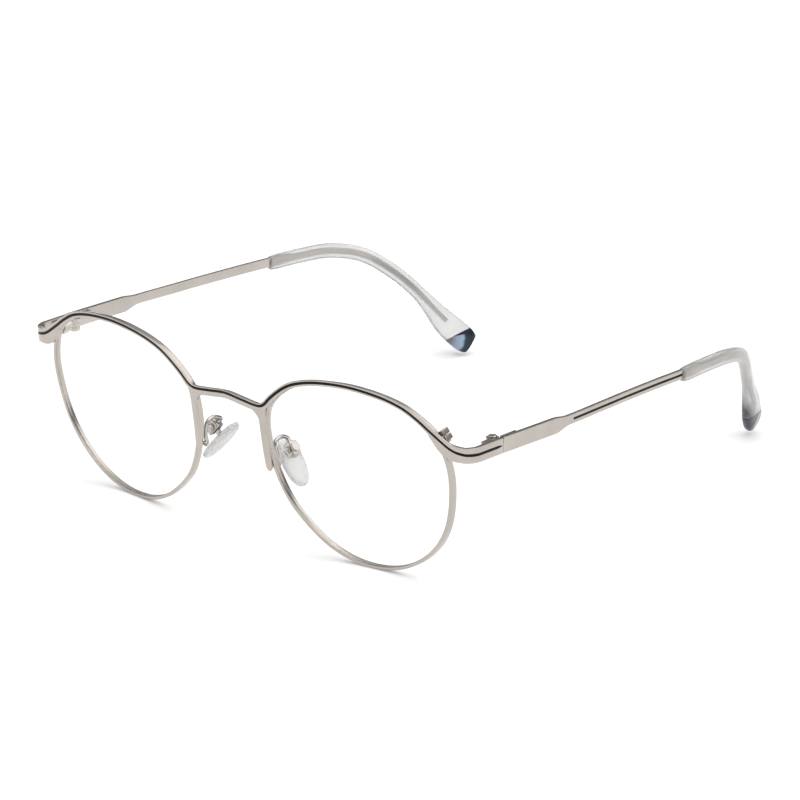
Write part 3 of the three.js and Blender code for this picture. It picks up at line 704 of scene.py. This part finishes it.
def groove_outline(half):
    """The flat outline of the sunk line, narrowing to a round end."""
    end = PLATE_END - 0.35
    stations = spaced((0, 16, 32), (16, 56, 60), (56, end - 3, 40), (end - 3, end, 12))
    upper, lower = [], []
    for s in stations:
        width = half * math.sqrt(max(1 - smooth(s, end - 2.5, end) ** 2, 0.03))
        upper.append(beside(s, width))
        lower.append(beside(s, -width))
    right = np.array(lower + upper[::-1])
    left = right[::-1] * (-1, 1)
    return np.vstack([right[:-1], left[:-1]])


def thickness_at(s):
    return lerp(PLATE, ENDPIECE, smooth(abs(s), THICKENS_FROM, THICKENS_TO))


cuts = [side * s for side in (-1, 1) for s in spaced((0.01, 60, 80), (60, PLATE_END - 0.2, 60))]
plate = pressed(brow_outline(), groove_outline(GROOVE_HALF), GROOVE_DEPTH, 0.13, cuts, thickness_at, on_plate)
add("brow_plate", plate, "front", "brow_front", "silver_metal", SILVER)


def line_rings():
    """The enamel line: a strip in the groove with a slightly crowned face."""
    end = PLATE_END - 0.45
    right = spaced((0, 16, 32), (16, 56, 60), (56, end - 2, 40), (end - 2, end, 10))
    rings = []
    for s in [-v for v in reversed(right[1:])] + right:
        half = (GROOVE_HALF - 0.01) * math.sqrt(max(1 - smooth(abs(s), end - 2.4, end) ** 2, 0.03))
        section = [(-1, 0.23), (-1, 0.08), (-0.6, 0.045), (0, 0.035), (0.6, 0.045), (1, 0.08), (1, 0.23)]
        ring = []
        for share, depth in section:
            at, z = beside(s, share * half)
            ring.append(on_plate(at, z, depth))
        rings.append(ring)
    return rings


add("brow_line", swept(line_rings()), "front", "brow_groove_enamel", "black_enamel", ENAMEL)


def bridge_rings():
    rings = []
    for x in spaced((-9.3, 9.3, 60)):
        high = groove_z(abs(x)) + 0.1
        low = lerp(34.6, 33.5, (abs(x) / 9.3) ** 2)
        section = rounded([(low, 0.64, 0.2), (high, 0.64, 0.2), (high, 2, 0.35), (low, 2, 0.35)])
        rings.append([(x, front_y(x, z) + depth, z) for z, depth in section])
    return rings


add("bridge_bar_body", swept(bridge_rings()), "front", "bridge_bar", "silver_metal", SILVER)

# ---------- rims and lenses ----------

arc = [
    (RIM_CENTRE[0] + RIM_RADIUS * math.cos(a), RIM_CENTRE[1] + RIM_RADIUS * math.sin(a))
    for a in (math.radians(degrees) for degrees in range(-12, -133, -12))
]
nasal = [
    (18.2, 7.9), (15.5, 10.9), (13.3, 14.8), (11.6, 19.4), (10.55, 23.5), (10.15, 27.6), (10.4, 31.5),
    (11.6, 35),
]
brow = [(x, groove_z(x) + 0.05) for x in (14, 18, 22, 28, 36, 44, 50, 54)]
temporal = [(57.3, 38.5), (59.3, 35.5), (60.5, 32.4), (61.15, 29.2), (61.25, 26.3), (60.95, 22.8)]
OUTLINE, ALONG = even(spline(arc + nasal + brow + temporal, closed=True), 480, closed=True)
INWARDS = np.stack([ALONG[:, 1], -ALONG[:, 0]], axis=1)


def rim_shape():
    """The rim wire: round outer edges, and a V-groove that holds the lens."""
    front, back = RIM_FRONT, RIM_BACK
    section = rounded([
        (0, front, 0.22), (RIM_RADIAL, front, 0.22), (RIM_RADIAL, LENS_AT - 0.36, 0.05),
        (RIM_RADIAL - 0.34, LENS_AT, 0.05), (RIM_RADIAL, LENS_AT + 0.36, 0.05), (RIM_RADIAL, back, 0.22),
        (0, back, 0.22),
    ])
    rings = []
    for point, inwards in zip(OUTLINE, INWARDS):
        ring = []
        for move, depth in section:
            x, z = point + inwards * move
            ring.append((x, front_y(x, z) + depth, z))
        rings.append(ring)
    return swept(rings, closed=True)


add_pair("rim_wire", rim_shape(), "front", "rim", "silver_metal", SILVER)


def lens_shape():
    """A meniscus lens with a polished bevel at its edge."""
    face, bevel = RIM_RADIAL + GAP, RIM_RADIAL - 0.29
    growing, shrinking = np.linspace(0.04, 1, 16), np.linspace(1, 0.04, 16)
    rings = [(k, face, LENS_AT - LENS_HALF - LENS_FRONT_BULGE * (1 - k * k)) for k in growing]
    rings.append((1, bevel, LENS_AT))
    rings += [(k, face, LENS_AT + LENS_HALF - LENS_BACK_BULGE * (1 - k * k)) for k in shrinking]
    middle = np.array(LENS_MIDDLE)
    made = []
    for k, move, depth in rings:
        edge = OUTLINE[::3] + INWARDS[::3] * move
        made.append([(x, front_y(x, z) + depth, z) for x, z in middle + (edge - middle) * k])
    return swept(made)


add_pair("lens_disc", lens_shape(), "front", "lens", "clear_lens", LENS)

# ---------- closing blocks ----------

flat = np.array([math.cos(CLOSING_ANGLE), 0, math.sin(CLOSING_ANGLE)])
closing = np.array([RIM_CENTRE[0], 0, RIM_CENTRE[1]]) + flat * (RIM_RADIUS + CLOSING_OUTSET)
closing[1] = front_y(closing[0], closing[2])
backward = np.array([-plan_slope(closing[0]), 1, -FRONT_LEAN])
backward /= np.linalg.norm(backward)
outward = flat - backward * (flat @ backward)
outward /= np.linalg.norm(outward)
tangent = np.cross(outward, backward)
closing += backward * (RIM_BACK + 0.08 + CLOSING_SIZE[1] / 2)


def closing_block(side):
    """Half of the block behind the rim, square to the front surface."""
    radial, length, tangential = CLOSING_SIZE
    centre = closing + tangent * side * (tangential + SPLIT) / 2
    return block(centre, (outward, backward, tangent), (radial, length, tangential), 0.12)


add_pair("closing_upper", closing_block(1), "front", "closing_block_upper", "silver_metal", SILVER)
add_pair("closing_lower", closing_block(-1), "front", "closing_block_lower", "silver_metal", SILVER)
shank = drum(closing - tangent * 1.5, closing + tangent * CLOSING_SEAT, radius=0.4, bevel=0.06)
head = screw_head(closing - tangent * CLOSING_SEAT, -tangent, radius=0.75, height=0.4, slot=0.2)
add_pair("closing_screw_body", both(shank, head), "front", "closing_screw", "polished_steel", POLISHED)

# ---------- nose pads ----------

flat = np.array([-math.cos(PAD_SPLAY), 0, -math.sin(PAD_SPLAY)])
NORMAL = flat * math.cos(PAD_FRONTAL) + np.array([0, math.sin(PAD_FRONTAL), 0])
down = np.array([math.sin(PAD_SPLAY), 0, -math.cos(PAD_SPLAY)])
LONG = down * math.cos(PAD_TILT) + np.cross(NORMAL, down) * math.sin(PAD_TILT)
ACROSS = np.cross(LONG, NORMAL)
BOX = PAD_CENTRE - NORMAL * PAD_STAND - LONG * PAD_UP - ACROSS * PAD_FORE


def pad_shape():
    """A drop-shaped pad, fuller at its lower end, with a softly rounded edge."""
    rings = []
    for polar in np.linspace(0.06, math.pi - 0.06, 48):
        ring = []
        for turn in np.linspace(0, 2 * math.pi, 64, endpoint=False):
            along = math.copysign(abs(math.cos(polar)) ** 0.9, math.cos(polar))
            around = math.sin(polar)
            wide = around * math.cos(turn) * (1 + 0.05 * along)
            thick = around * math.sin(turn)
            thick = math.copysign(abs(thick) ** 0.75, thick) * (0.92 if thick < 0 else 1)
            ring.append(
                PAD_CENTRE + LONG * along * PAD_SIZE[0] / 2 * 0.995
                + ACROSS * wide * PAD_SIZE[1] / 2 * 0.95 + NORMAL * thick * PAD_SIZE[2] / 2
            )
        rings.append(ring)
    return swept(rings)


add_pair("pad_body", pad_shape(), "{}_pad", "nose_pad", "pad_plastic", PAD, sharp=80)
tab = block(BOX + NORMAL * 1.07, (LONG, ACROSS, NORMAL), (1.3, 0.8, 3.25), 0.12)
add_pair("pad_tab", tab, "{}_pad", "pad_core", "polished_steel", POLISHED)

cup = block(BOX, (LONG, ACROSS, NORMAL), (BOX_ALONG, BOX_WIDE, BOX_DEEP), 0.4)
button = drum(
    BOX - NORMAL * (BOX_DEEP / 2 - 0.02), BOX - NORMAL * (BOX_DEEP / 2 + 0.39), BUTTON_RADIUS, bevel=0.15
)
add_pair("pad_button", button, "front", "pad_box", "silver_metal", SILVER)
hollow_size = (BOX_ALONG - 2 * CUP_WALL, BOX_WIDE - 2 * CUP_WALL, HOLLOW_DEEP)
hollow = block(BOX + NORMAL * HOLLOW_FORWARD, (LONG, ACROSS, NORMAL), hollow_size, 0.15)
add_pair("pad_cup", combined("DIFFERENCE", cup, hollow), "front", "pad_box", "silver_metal", SILVER, sharp=50)
pin = drum(BOX - ACROSS * 1.4, BOX + ACROSS * 1.4, radius=0.35, bevel=0.06)
head = screw_head(BOX - ACROSS * 1.24, -ACROSS, radius=0.85, height=0.5, slot=0.26)
add_pair("pad_screw_body", both(pin, head), "front", "pad_screw", "polished_steel", POLISHED)


def arm_shape():
    """The goose-neck wire, with a thickened round foot soldered to the rim's back."""
    foot = np.array([11.2, front_y(11.2, 19.4) + RIM_BACK + GAP, 19.4])
    end = BOX - LONG * (BOX_ALONG / 2 + GAP)
    path = [
        foot, (11.2, foot[1] + 0.6, 19.75), (11.1, 7.05, 21.6), (10.75, 6.8, 23.6), (10.5, 7, 24.8),
        (10.45, 7.9, 25.45), (10.45, 9.3, 25.6), end - LONG, end - LONG * 0.3, end,
    ]
    count = 90
    points, direction = even(spline(path), count)
    rings = []
    side = np.array([1.0, 0, 0])
    for i, (point, along) in enumerate(zip(points, direction)):
        side = side - along * (side @ along)
        side /= np.linalg.norm(side)
        other = np.cross(along, side)
        swell = 1 + 0.5 * math.exp(-((i / 7) ** 2)) + 0.35 * math.exp(-(((count - 1 - i) / 5) ** 2))
        rings.append([
            point + (side * math.cos(a) + other * math.sin(a)) * WIRE_RADIUS * swell
            for a in np.linspace(0, 2 * math.pi, 20, endpoint=False)
        ])
    return swept(rings)


add_pair("pad_wire", arm_shape(), "front", "pad_arm", "silver_metal", POLISHED)

# ---------- hinges ----------

UPRIGHT = ((1, 0, 0), (0, 1, 0), (0, 0, 1))


def hinge_at(z):
    """A point on the left hinge's axis."""
    return np.array([HINGE_X, HINGE_Y, z])


def between(low, high, bevel=0.1):
    """An upright block between two corners."""
    low, high = np.array(low, float), np.array(high, float)
    return block((low + high) / 2, UPRIGHT, tuple(high - low), bevel)


inner_front = SIDE_X - ENDPIECE - GAP
low_ear = drum(hinge_at(HINGE_LOW), hinge_at(HINGE_LOW + KNUCKLE - GAP), HINGE_RADIUS)
high_ear = drum(hinge_at(HINGE_HIGH - KNUCKLE + GAP), hinge_at(HINGE_HIGH), HINGE_RADIUS)
body = between(
    (HINGE_X, HINGE_BODY_FROM, HINGE_LOW + 0.02), (inner_front, HINGE_BODY_TO, HINGE_HIGH - 0.02)
)
low_arm = between(
    (HINGE_X, HINGE_ARM_FROM, HINGE_LOW + 0.02), (inner_front, HINGE_Y, HINGE_LOW + KNUCKLE - 0.06), 0.05
)
high_arm = between(
    (HINGE_X, HINGE_ARM_FROM, HINGE_HIGH - KNUCKLE + 0.06), (inner_front, HINGE_Y, HINGE_HIGH - 0.02), 0.05
)
add_pair(
    "hinge_block", combined("UNION", body, low_arm, high_arm, low_ear, high_ear),
    "front", "hinge_front", "silver_metal", SILVER,
)

inner_temple = SIDE_X - THICK - 0.09
middle_ear = drum(hinge_at(HINGE_LOW + KNUCKLE), hinge_at(HINGE_HIGH - KNUCKLE), HINGE_RADIUS)
middle_arm = between(
    (HINGE_X, HINGE_Y, HINGE_LOW + KNUCKLE + 0.02), (inner_temple, 22, HINGE_HIGH - KNUCKLE - 0.02), 0.05
)
leaf = between((inner_temple - 1, LEAF_FROM, HINGE_LOW), (inner_temple, LEAF_TO, HINGE_HIGH), 0.12)
add_pair(
    "hinge_leaf", combined("UNION", leaf, middle_arm, middle_ear),
    "{}_side", "hinge_temple", "silver_metal", SILVER,
)
shank = drum(hinge_at(HINGE_LOW - 0.28), hinge_at(HINGE_HIGH + 0.2), radius=0.5, bevel=0.06)
head = screw_head(hinge_at(HINGE_HIGH + GAP), (0, 0, 1), radius=1.05, height=0.41, slot=0.26)
add_pair("hinge_screw_body", both(shank, head), "front", "hinge_screw", "polished_steel", POLISHED)

# ---------- temples and tips ----------

TEMPLE_LINE = spline([
    (66.92, 20.06, 33.8), (66.8, 38.06, 33.35), (66.76, 44.06, 33.2), (66.2, 54, 33), (65.55, 65, 32.8),
    (64.8, 78, 32.45), (64.2, 88.7, 32.05), (63.25, 98.4, 31.8), (61.9, 108.1, 31), (59, 116.9, 28.4),
    (55.7, 123.2, 23.8), (52.7, 127.9, 18.9), (50.7, 131.4, 14.5), (48.8, 134.9, 9.9), (46.5, 138.6, 5.6),
    (44.8, 141.6, 2.5),
], steps=40)
LINE_AT = np.concatenate([[0], np.cumsum(np.linalg.norm(np.diff(TEMPLE_LINE, axis=0), axis=1))])
LINE_LENGTH = float(LINE_AT[-1])
ROUND_START = LINE_LENGTH - END_ROUNDING + 0.6
SLEEVE_START = SLEEVE_AT - 0.2
SLOPES = np.gradient(TEMPLE_LINE, axis=0)


def temple_frame(distance):
    """The centre line's point at a distance, and the directions outward and upward from it."""
    at = min(max(distance, 0), LINE_LENGTH)
    centre = np.array([np.interp(at, LINE_AT, TEMPLE_LINE[:, k]) for k in range(3)])
    along = np.array([np.interp(at, LINE_AT, SLOPES[:, k]) for k in range(3)])
    along /= np.linalg.norm(along)
    outward = np.array([1.0, 0, 0]) - along * along[0]
    outward /= np.linalg.norm(outward)
    return centre, outward, np.cross(outward, along)


def temple_size(d):
    """The temple's reach above and below its centre line, and its thickness."""
    narrowing = smooth(d, STEP_FROM, STEP_TO)
    taper = smooth(d, SLEEVE_AT, SLEEVE_AT + 10)
    shrink = lerp(1, 0.8, smooth(d, CORE_END - 22, CORE_END))
    pairs = ((WIDE, NARROW_UP), (WIDE, NARROW_DOWN), (THICK, THIN))
    return [lerp(lerp(wide, narrow, narrowing), CORE_HALF, taper) * shrink for wide, narrow in pairs]


def temple_place(d, height, depth):
    """A point of the temple: depth goes in from its outer face."""
    centre, outward, upward = temple_frame(d)
    return centre + upward * height + outward * (temple_size(d)[2] / 2 - depth)


def temple_shape():
    """The metal temple with its groove, down to the end of the core inside the tip."""
    stations = spaced(
        (0.02, STEP_FROM - 1, 12), (STEP_FROM - 1, STEP_TO + 1, 24), (STEP_TO + 1, CORE_END, 90)
    )
    lower = [(d, -temple_size(d)[1]) for d in stations]
    upper = [(d, temple_size(d)[0]) for d in reversed(stations)]
    start, half, rounding = TEMPLE_GROOVE_FROM, TEMPLE_GROOVE_HALF, 0.4
    lengthwise = spaced((start + rounding, TEMPLE_GROOVE_TO - 0.1, 50))
    slot = [(d, TEMPLE_GROOVE_UP - half) for d in lengthwise]
    slot += [(d, TEMPLE_GROOVE_UP + half) for d in reversed(lengthwise)]
    slot += [
        (start + rounding - rounding * math.sin(a), TEMPLE_GROOVE_UP + half * math.cos(a))
        for a in np.linspace(0, math.pi, 9)[1:-1]
    ]
    cuts = spaced((0.5, CORE_END - 0.4, 170))
    outline, bevel = np.array(lower + upper), 0.12
    return pressed(
        outline, np.array(slot), TEMPLE_GROOVE_DEPTH, bevel, cuts, lambda d: temple_size(d)[2], temple_place
    )


add_pair("temple_bar", temple_shape(), "{}_side", "temple", "silver_metal", SILVER)


def temple_line_rings():
    """The enamel in the temple's groove, rounded at its front end."""
    rings = []
    for d in spaced((TEMPLE_GROOVE_FROM + 0.15, TEMPLE_GROOVE_TO - 0.15, 60)):
        half = TEMPLE_LINE_HALF * math.sqrt(min(1, max(0.05, (d - TEMPLE_GROOVE_FROM) / 0.5)))
        section = [(-1, 0.2), (-1, 0.07), (-0.6, 0.04), (0, 0.03), (0.6, 0.04), (1, 0.07), (1, 0.2)]
        rings.append([
            temple_place(d, TEMPLE_GROOVE_UP + share * half, depth) for share, depth in section
        ])
    return rings


add_pair(
    "temple_line", swept(temple_line_rings()), "{}_side", "temple_groove_enamel", "black_enamel", ENAMEL
)


def tip_ring(d, shrink=1):
    """The tip's outline at a distance along the line: a sleeve that widens into a paddle and rounds off."""
    centre, outward, upward = temple_frame(d)
    start = lerp(0.9, 1, smooth(d, SLEEVE_START, SLEEVE_AT + 2.2)) * shrink
    paddle = smooth(d, PADDLE_FROM, PADDLE_TO)
    rounding = math.sqrt(1 - (max(0, d - ROUND_START) / END_ROUNDING) ** 2)
    half_up = lerp(SLEEVE_UP, PADDLE_UP, paddle) * start * lerp(END_UP, 1, rounding)
    half_across = lerp(SLEEVE_ACROSS, PADDLE_ACROSS, paddle) * start * lerp(END_ACROSS, 1, rounding)
    ring = []
    for a in np.linspace(0, 2 * math.pi, 40, endpoint=False):
        c, s = math.cos(a), math.sin(a)
        across = math.copysign(abs(c) ** TIP_ROUNDNESS, c) * half_across
        up = math.copysign(abs(s) ** TIP_ROUNDNESS, s) * half_up - paddle * PADDLE_DROP
        ring.append(centre + outward * across + upward * up)
    return ring


def whole_tip():
    """The tip before it is cut into its clear part and its dark end."""
    start, end = SLEEVE_START, LINE_LENGTH - 0.1
    rings = []
    for a in np.linspace(0.1, math.pi / 2, 7):
        rings.append(tip_ring(start + 0.5 * (1 - math.cos(a)), 1 - 0.25 * (1 - math.sin(a))))
    rings += [tip_ring(d) for d in spaced((start + 0.7, ROUND_START, 140), (ROUND_START, end, 24))]
    for inner in np.linspace(0.15, math.pi / 2 - 0.12, 7):
        rings.append(tip_ring(end, lerp(0.35, 1, math.cos(inner))))
    return swept(rings)


CUT_AT = (46.5, 138.6)  # the middle of the paddle where the dark end starts
CUT_BLOCK, CUT_OVERLAP = (60, 160, 80), 0.03


def cut_tip(side, slope, lean, height):
    """A tip's clear part and dark end; the cut between them rises backwards (slope) and inwards (lean)."""
    up = np.array([lean, -slope, 1.0])
    up /= np.linalg.norm(up)
    back = np.cross(up, (1, 0, 0))
    back /= np.linalg.norm(back)
    axes = (np.cross(back, up), back, up)
    middle = np.array([*CUT_AT, height])
    for name, node, slot, look, away in (
        ("tip_clear", "temple_tip", "tip_plastic", TIP, -CUT_BLOCK[2] / 2),
        ("tip_laminate", "tip_end", "dark_laminate", LAMINATE, CUT_BLOCK[2] / 2 + CUT_OVERLAP),
    ):
        part = combined("DIFFERENCE", whole_tip(), block(middle + up * away, axes, CUT_BLOCK, 0.01))
        if side == "right":
            part = mirrored(part)
        add(f"{name}_{side}", part, f"{side}_side", f"{node}_{side}", slot, look, sharp=60)


cut_tip("left", 0, 0, LAMINATE_TOP)
cut_tip("right", 0.08, 0.7, LAMINATE_TOP - 0.85)

# ---------- table, light and surroundings ----------

TABLE_DROP = 0.00002  # metres between the table and the lowest piece

bpy.ops.mesh.primitive_plane_add(size=6, location=(0, 0, -TABLE_DROP))
floor = bpy.context.object
floor.name = "table"
white, tree, shader = material(
    "white_table", Roughness=0.7, Specular_IOR_Level=0.2, Emission_Color=(1, 1, 1, 1), Emission_Strength=0.15
)
paper = ramp(tree, noise(tree, 60, 3), (0.3, (0.91, 0.91, 0.91)), (0.7, (0.93, 0.93, 0.93)))
tree.links.new(paper, shader.inputs["Base Color"])
floor.data.materials.append(white)

key = bpy.data.lights.new("key", "SUN")
key.energy = 2.3
key.angle = math.radians(96)
key_light = bpy.data.objects.new("key", key)
key_light.rotation_euler = Vector((-0.35, -0.12, -0.9)).to_track_quat("-Z", "Y").to_euler()
bpy.context.scene.collection.objects.link(key_light)

world = bpy.data.worlds.new("studio")
bpy.context.scene.world = world
world.use_nodes = True
tree = world.node_tree
background = tree.nodes["Background"]
where = tree.nodes.new("ShaderNodeTexCoord")
split = tree.nodes.new("ShaderNodeSeparateXYZ")
tree.links.new(where.outputs["Generated"], split.inputs["Vector"])
# white near the horizon, a dark band above it that the metal reflects, and grey overhead
sky = ramp(
    tree, split.outputs["Z"], (0.0, (0.95,) * 3), (0.06, (0.9,) * 3), (0.12, (0.055,) * 3),
    (0.29, (0.055,) * 3), (0.4, (0.39,) * 3), (1.0, (0.43,) * 3),
)
tree.links.new(sky, background.inputs["Color"])
background.inputs["Strength"].default_value = 1.28
bpy.context.scene.view_settings.view_transform = "Standard"
